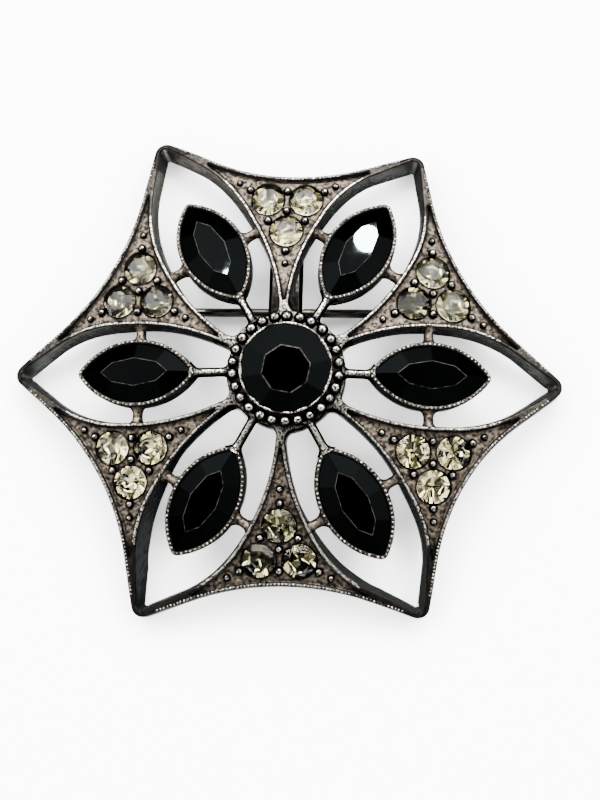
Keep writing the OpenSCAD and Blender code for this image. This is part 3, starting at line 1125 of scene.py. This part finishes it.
class BROOCH_OT_round_stones(bpy.types.Operator):
    """Cut the centre stone and the eighteen small clear stones"""

    bl_idname = "brooch.round_stones"
    bl_label = "Round Stones"

    def execute(self, context):
        s = sizes()
        self.centre_stone(s)
        for plate in PLATES:
            for letter, direction in STONE_LETTERS.items():
                chance = random.Random(plate + direction)
                stone = self.small_stone(s, chance)
                spot = on_plate(s, plate, s.chaton_offset, direction)
                turn = 40 * ((plate + direction) % 7)
                stone.data.transform(seat_on_dome(s, *spot, 0.14 - s.floor_depth, turn))
                number = f"{plate:.0f}_{letter}"
                finish("small_stone_" + number, stone, [clear_glass(), foil(), painted_shade_foil()], "clear_stone",
                       "chaton_" + number, flat=True)
                self.darken_foil(stone, chance)
        return {"FINISHED"}

    def darken_foil(self, stone, chance):
        """Gives the back its foil, painted dark as painted shade on the narrow facets and on a few of the
        wide ones.
        """
        narrow = 0.4 * MM ** 2
        few = 0.15
        for face in stone.data.polygons:
            if face.normal.z < -0.2:
                # Index 2 is the foil painted dark, as painted shade
                face.material_index = 1 if face.area > narrow and chance.random() > few else 2

    def centre_stone(self, s):
        """The black stone: an eight-sided table and eight crown facets."""
        radius = s.centre_stone / 2
        stone = rod(64, radius, 2.4, (0, 0, 0.4))
        top = 1.05
        planes = [((0, 0, top), (0, 0, 1))]
        for i in range(8):
            direction = 34.5 + 45 * i
            x, y = toward(direction)
            planes.append(facet(direction, 2.06 + 0.08 * x - 0.26 * y, top, radius, 0.1))
            planes.append(facet(direction, 1.2, -1.2, radius, -0.1))
        grind(stone, planes)
        soften(stone, 0.055, 1, 8)
        apex = float(dome_height(s, 0, 0))
        stone.data.transform(Matrix.Translation((s.ring_aside, s.ring_up, apex + 0.5)))
        finish_black("middle_stone", stone, "centre_stone")

    def small_stone(self, s, chance):
        """A clear stone: a table, eight main and eight star facets, and sixteen on its deep back."""
        radius = s.chaton / 2
        top = 0.52
        star_foot = 0.27
        girdle = 0.05
        culet = -1.25
        stone = rod(32, radius, 4)
        planes = [((0, 0, top), (0, 0, 1)), ((0, 0, culet), (0, 0, -1))]
        for i in range(8):
            main = 45 * i
            star = main + 22.5
            slope = math.tan(math.radians(chance.uniform(39, 45)))
            planes.append(facet(main, 0.92, top, radius, girdle))
            planes.append(facet(star, 0.94, top, radius - 0.2, star_foot))
            planes.append(facet(main, 0, -girdle - slope * radius, radius, -girdle))
            planes.append(facet(star, 0, -girdle - 0.92 * radius, 1.045 * radius, -girdle))
        grind(stone, planes)
        return stone


class BROOCH_OT_pin(bpy.types.Operator):
    """Finish the pin, its hinge and its catch, whose shapes are the frame's own"""

    bl_idname = "brooch.pin"
    bl_label = "Pin"

    def execute(self, context):
        for name in ("pin_stem", "pin_hinge", "pin_catch"):
            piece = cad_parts[name]
            piece.data.materials.clear()
            piece.data.materials.append(pin_steel())
            pick(piece)
            bpy.ops.object.shade_smooth_by_angle(angle=math.radians(35))
        return {"FINISHED"}


class BROOCH_OT_stage(bpy.types.Operator):
    """Set up the table, the lights and the camera"""

    bl_idname = "brooch.stage"
    bl_label = "Stage"

    def execute(self, context):
        pick(None)
        bpy.ops.mesh.primitive_plane_add(size=4, location=(0, 0, 0))
        table = bpy.context.object
        table.name = table.data.name = "table_top"
        table.data.materials.append(table_top())
        self.lights()
        self.camera(context)
        return {"FINISHED"}

    def lights(self):
        """A band of bright sky, brightest past the top of the picture, and two small lamps."""
        self.lamp("lamp_right", (0.084, 0.296, 0.41), 0.0135, 13)
        self.lamp("lamp_left", (-0.134, 0.275, 0.41), 0.012, 9)
        world = bpy.data.worlds.new("studio")
        world.use_nodes = True
        bpy.context.scene.world = world
        tree = world.node_tree
        tree.nodes.clear()
        way = add(tree, "ShaderNodeSeparateXYZ", Vector=add(tree, "ShaderNodeTexCoord").outputs["Generated"])
        soft = {"interpolation_type": "SMOOTHSTEP"}
        times = {"operation": "MULTIPLY"}
        side = add(tree, "ShaderNodeMapRange", soft, Value=way.outputs["Y"], From_Min=-0.8, From_Max=0.9,
                   To_Min=5, To_Max=40)
        above = add(tree, "ShaderNodeMapRange", soft, Value=way.outputs["Z"], From_Min=0.3, From_Max=0.7,
                    To_Max=1.2)
        below = add(tree, "ShaderNodeMapRange", soft, Value=way.outputs["Z"], From_Min=0.94, From_Max=0.78)
        high = add(tree, "ShaderNodeMath", times, i0=above, i1=below)
        band = add(tree, "ShaderNodeMath", times, i0=side, i1=high)
        strength = add(tree, "ShaderNodeMath", {"operation": "ADD"}, i0=band, i1=0.5)
        back = add(tree, "ShaderNodeBackground", Color=(1, 1, 1, 1), Strength=strength)
        add(tree, "ShaderNodeOutputWorld", Surface=back)

    def lamp(self, name, place, width, power):
        """A small round lamp that faces the brooch and shows only in what is glossy."""
        lamp = bpy.data.lights.new(name, "AREA")
        lamp.shape = "DISK"
        lamp.size = width
        lamp.energy = power
        light = bpy.data.objects.new(name, lamp)
        light.location = place
        light.rotation_euler = Vector(place).to_track_quat("Z", "Y").to_euler()
        light.visible_diffuse = False
        bpy.context.collection.objects.link(light)

    def camera(self, context):
        """The photograph's view: nearly from above, close, tipped a little to the top and the side."""
        aside = -1.45
        up = 1.78
        distance = 112.3
        rim = 2.32
        turn = turn_about("X", -10.24) @ turn_about("Y", -2.79) @ turn_about("Z", -1.19)
        to_camera = Matrix.Translation((aside, up, -distance)) @ turn @ Matrix.Translation((0, 0, -rim))
        place = to_camera.inverted()
        place.translation *= MM
        data = bpy.data.cameras.new("camera")
        data.sensor_fit = "VERTICAL"
        data.sensor_height = 24
        data.lens = 36
        data.clip_start = 0.005
        camera = bpy.data.objects.new("camera", data)
        camera.matrix_world = place
        context.collection.objects.link(camera)
        context.scene.camera = camera


STEPS = (
    BROOCH_OT_casting,
    BROOCH_OT_plate_beads,
    BROOCH_OT_rim_grain,
    BROOCH_OT_bezels,
    BROOCH_OT_centre,
    BROOCH_OT_strap,
    BROOCH_OT_long_stones,
    BROOCH_OT_round_stones,
    BROOCH_OT_pin,
    BROOCH_OT_stage,
)


class BROOCH_PT_panel(bpy.types.Panel):
    """Lists the sizes, the colours and the steps"""

    bl_idname = "BROOCH_PT_panel"
    bl_label = "Star Brooch"
    bl_space_type = "VIEW_3D"
    bl_region_type = "UI"
    bl_category = "Star Brooch"

    def draw(self, context):
        scene = context.scene
        for group in (scene.brooch_casting, scene.brooch_settings, scene.brooch_finish):
            box = self.layout.box()
            for name in group.__annotations__:
                box.prop(group, name)
        for step in STEPS:
            self.layout.operator(step.bl_idname)


GROUPS = {
    "brooch_casting": BROOCH_PG_casting,
    "brooch_settings": BROOCH_PG_settings,
    "brooch_finish": BROOCH_PG_finish,
}


def register():
    for name, group in GROUPS.items():
        bpy.utils.register_class(group)
        setattr(bpy.types.Scene, name, bpy.props.PointerProperty(type=group))
    for step in STEPS + (BROOCH_PT_panel,):
        bpy.utils.register_class(step)


def unregister():
    for step in (BROOCH_PT_panel,) + STEPS[::-1]:
        bpy.utils.unregister_class(step)
    for name, group in GROUPS.items():
        delattr(bpy.types.Scene, name)
        bpy.utils.unregister_class(group)


def main():
    register()
    bpy.ops.brooch.casting()
    bpy.ops.brooch.plate_beads()
    bpy.ops.brooch.rim_grain()
    bpy.ops.brooch.bezels()
    bpy.ops.brooch.centre()
    bpy.ops.brooch.strap()
    bpy.ops.brooch.long_stones()
    bpy.ops.brooch.round_stones()
    bpy.ops.brooch.pin()
    bpy.ops.brooch.stage()
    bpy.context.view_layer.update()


if __name__ == "__main__":
    main()
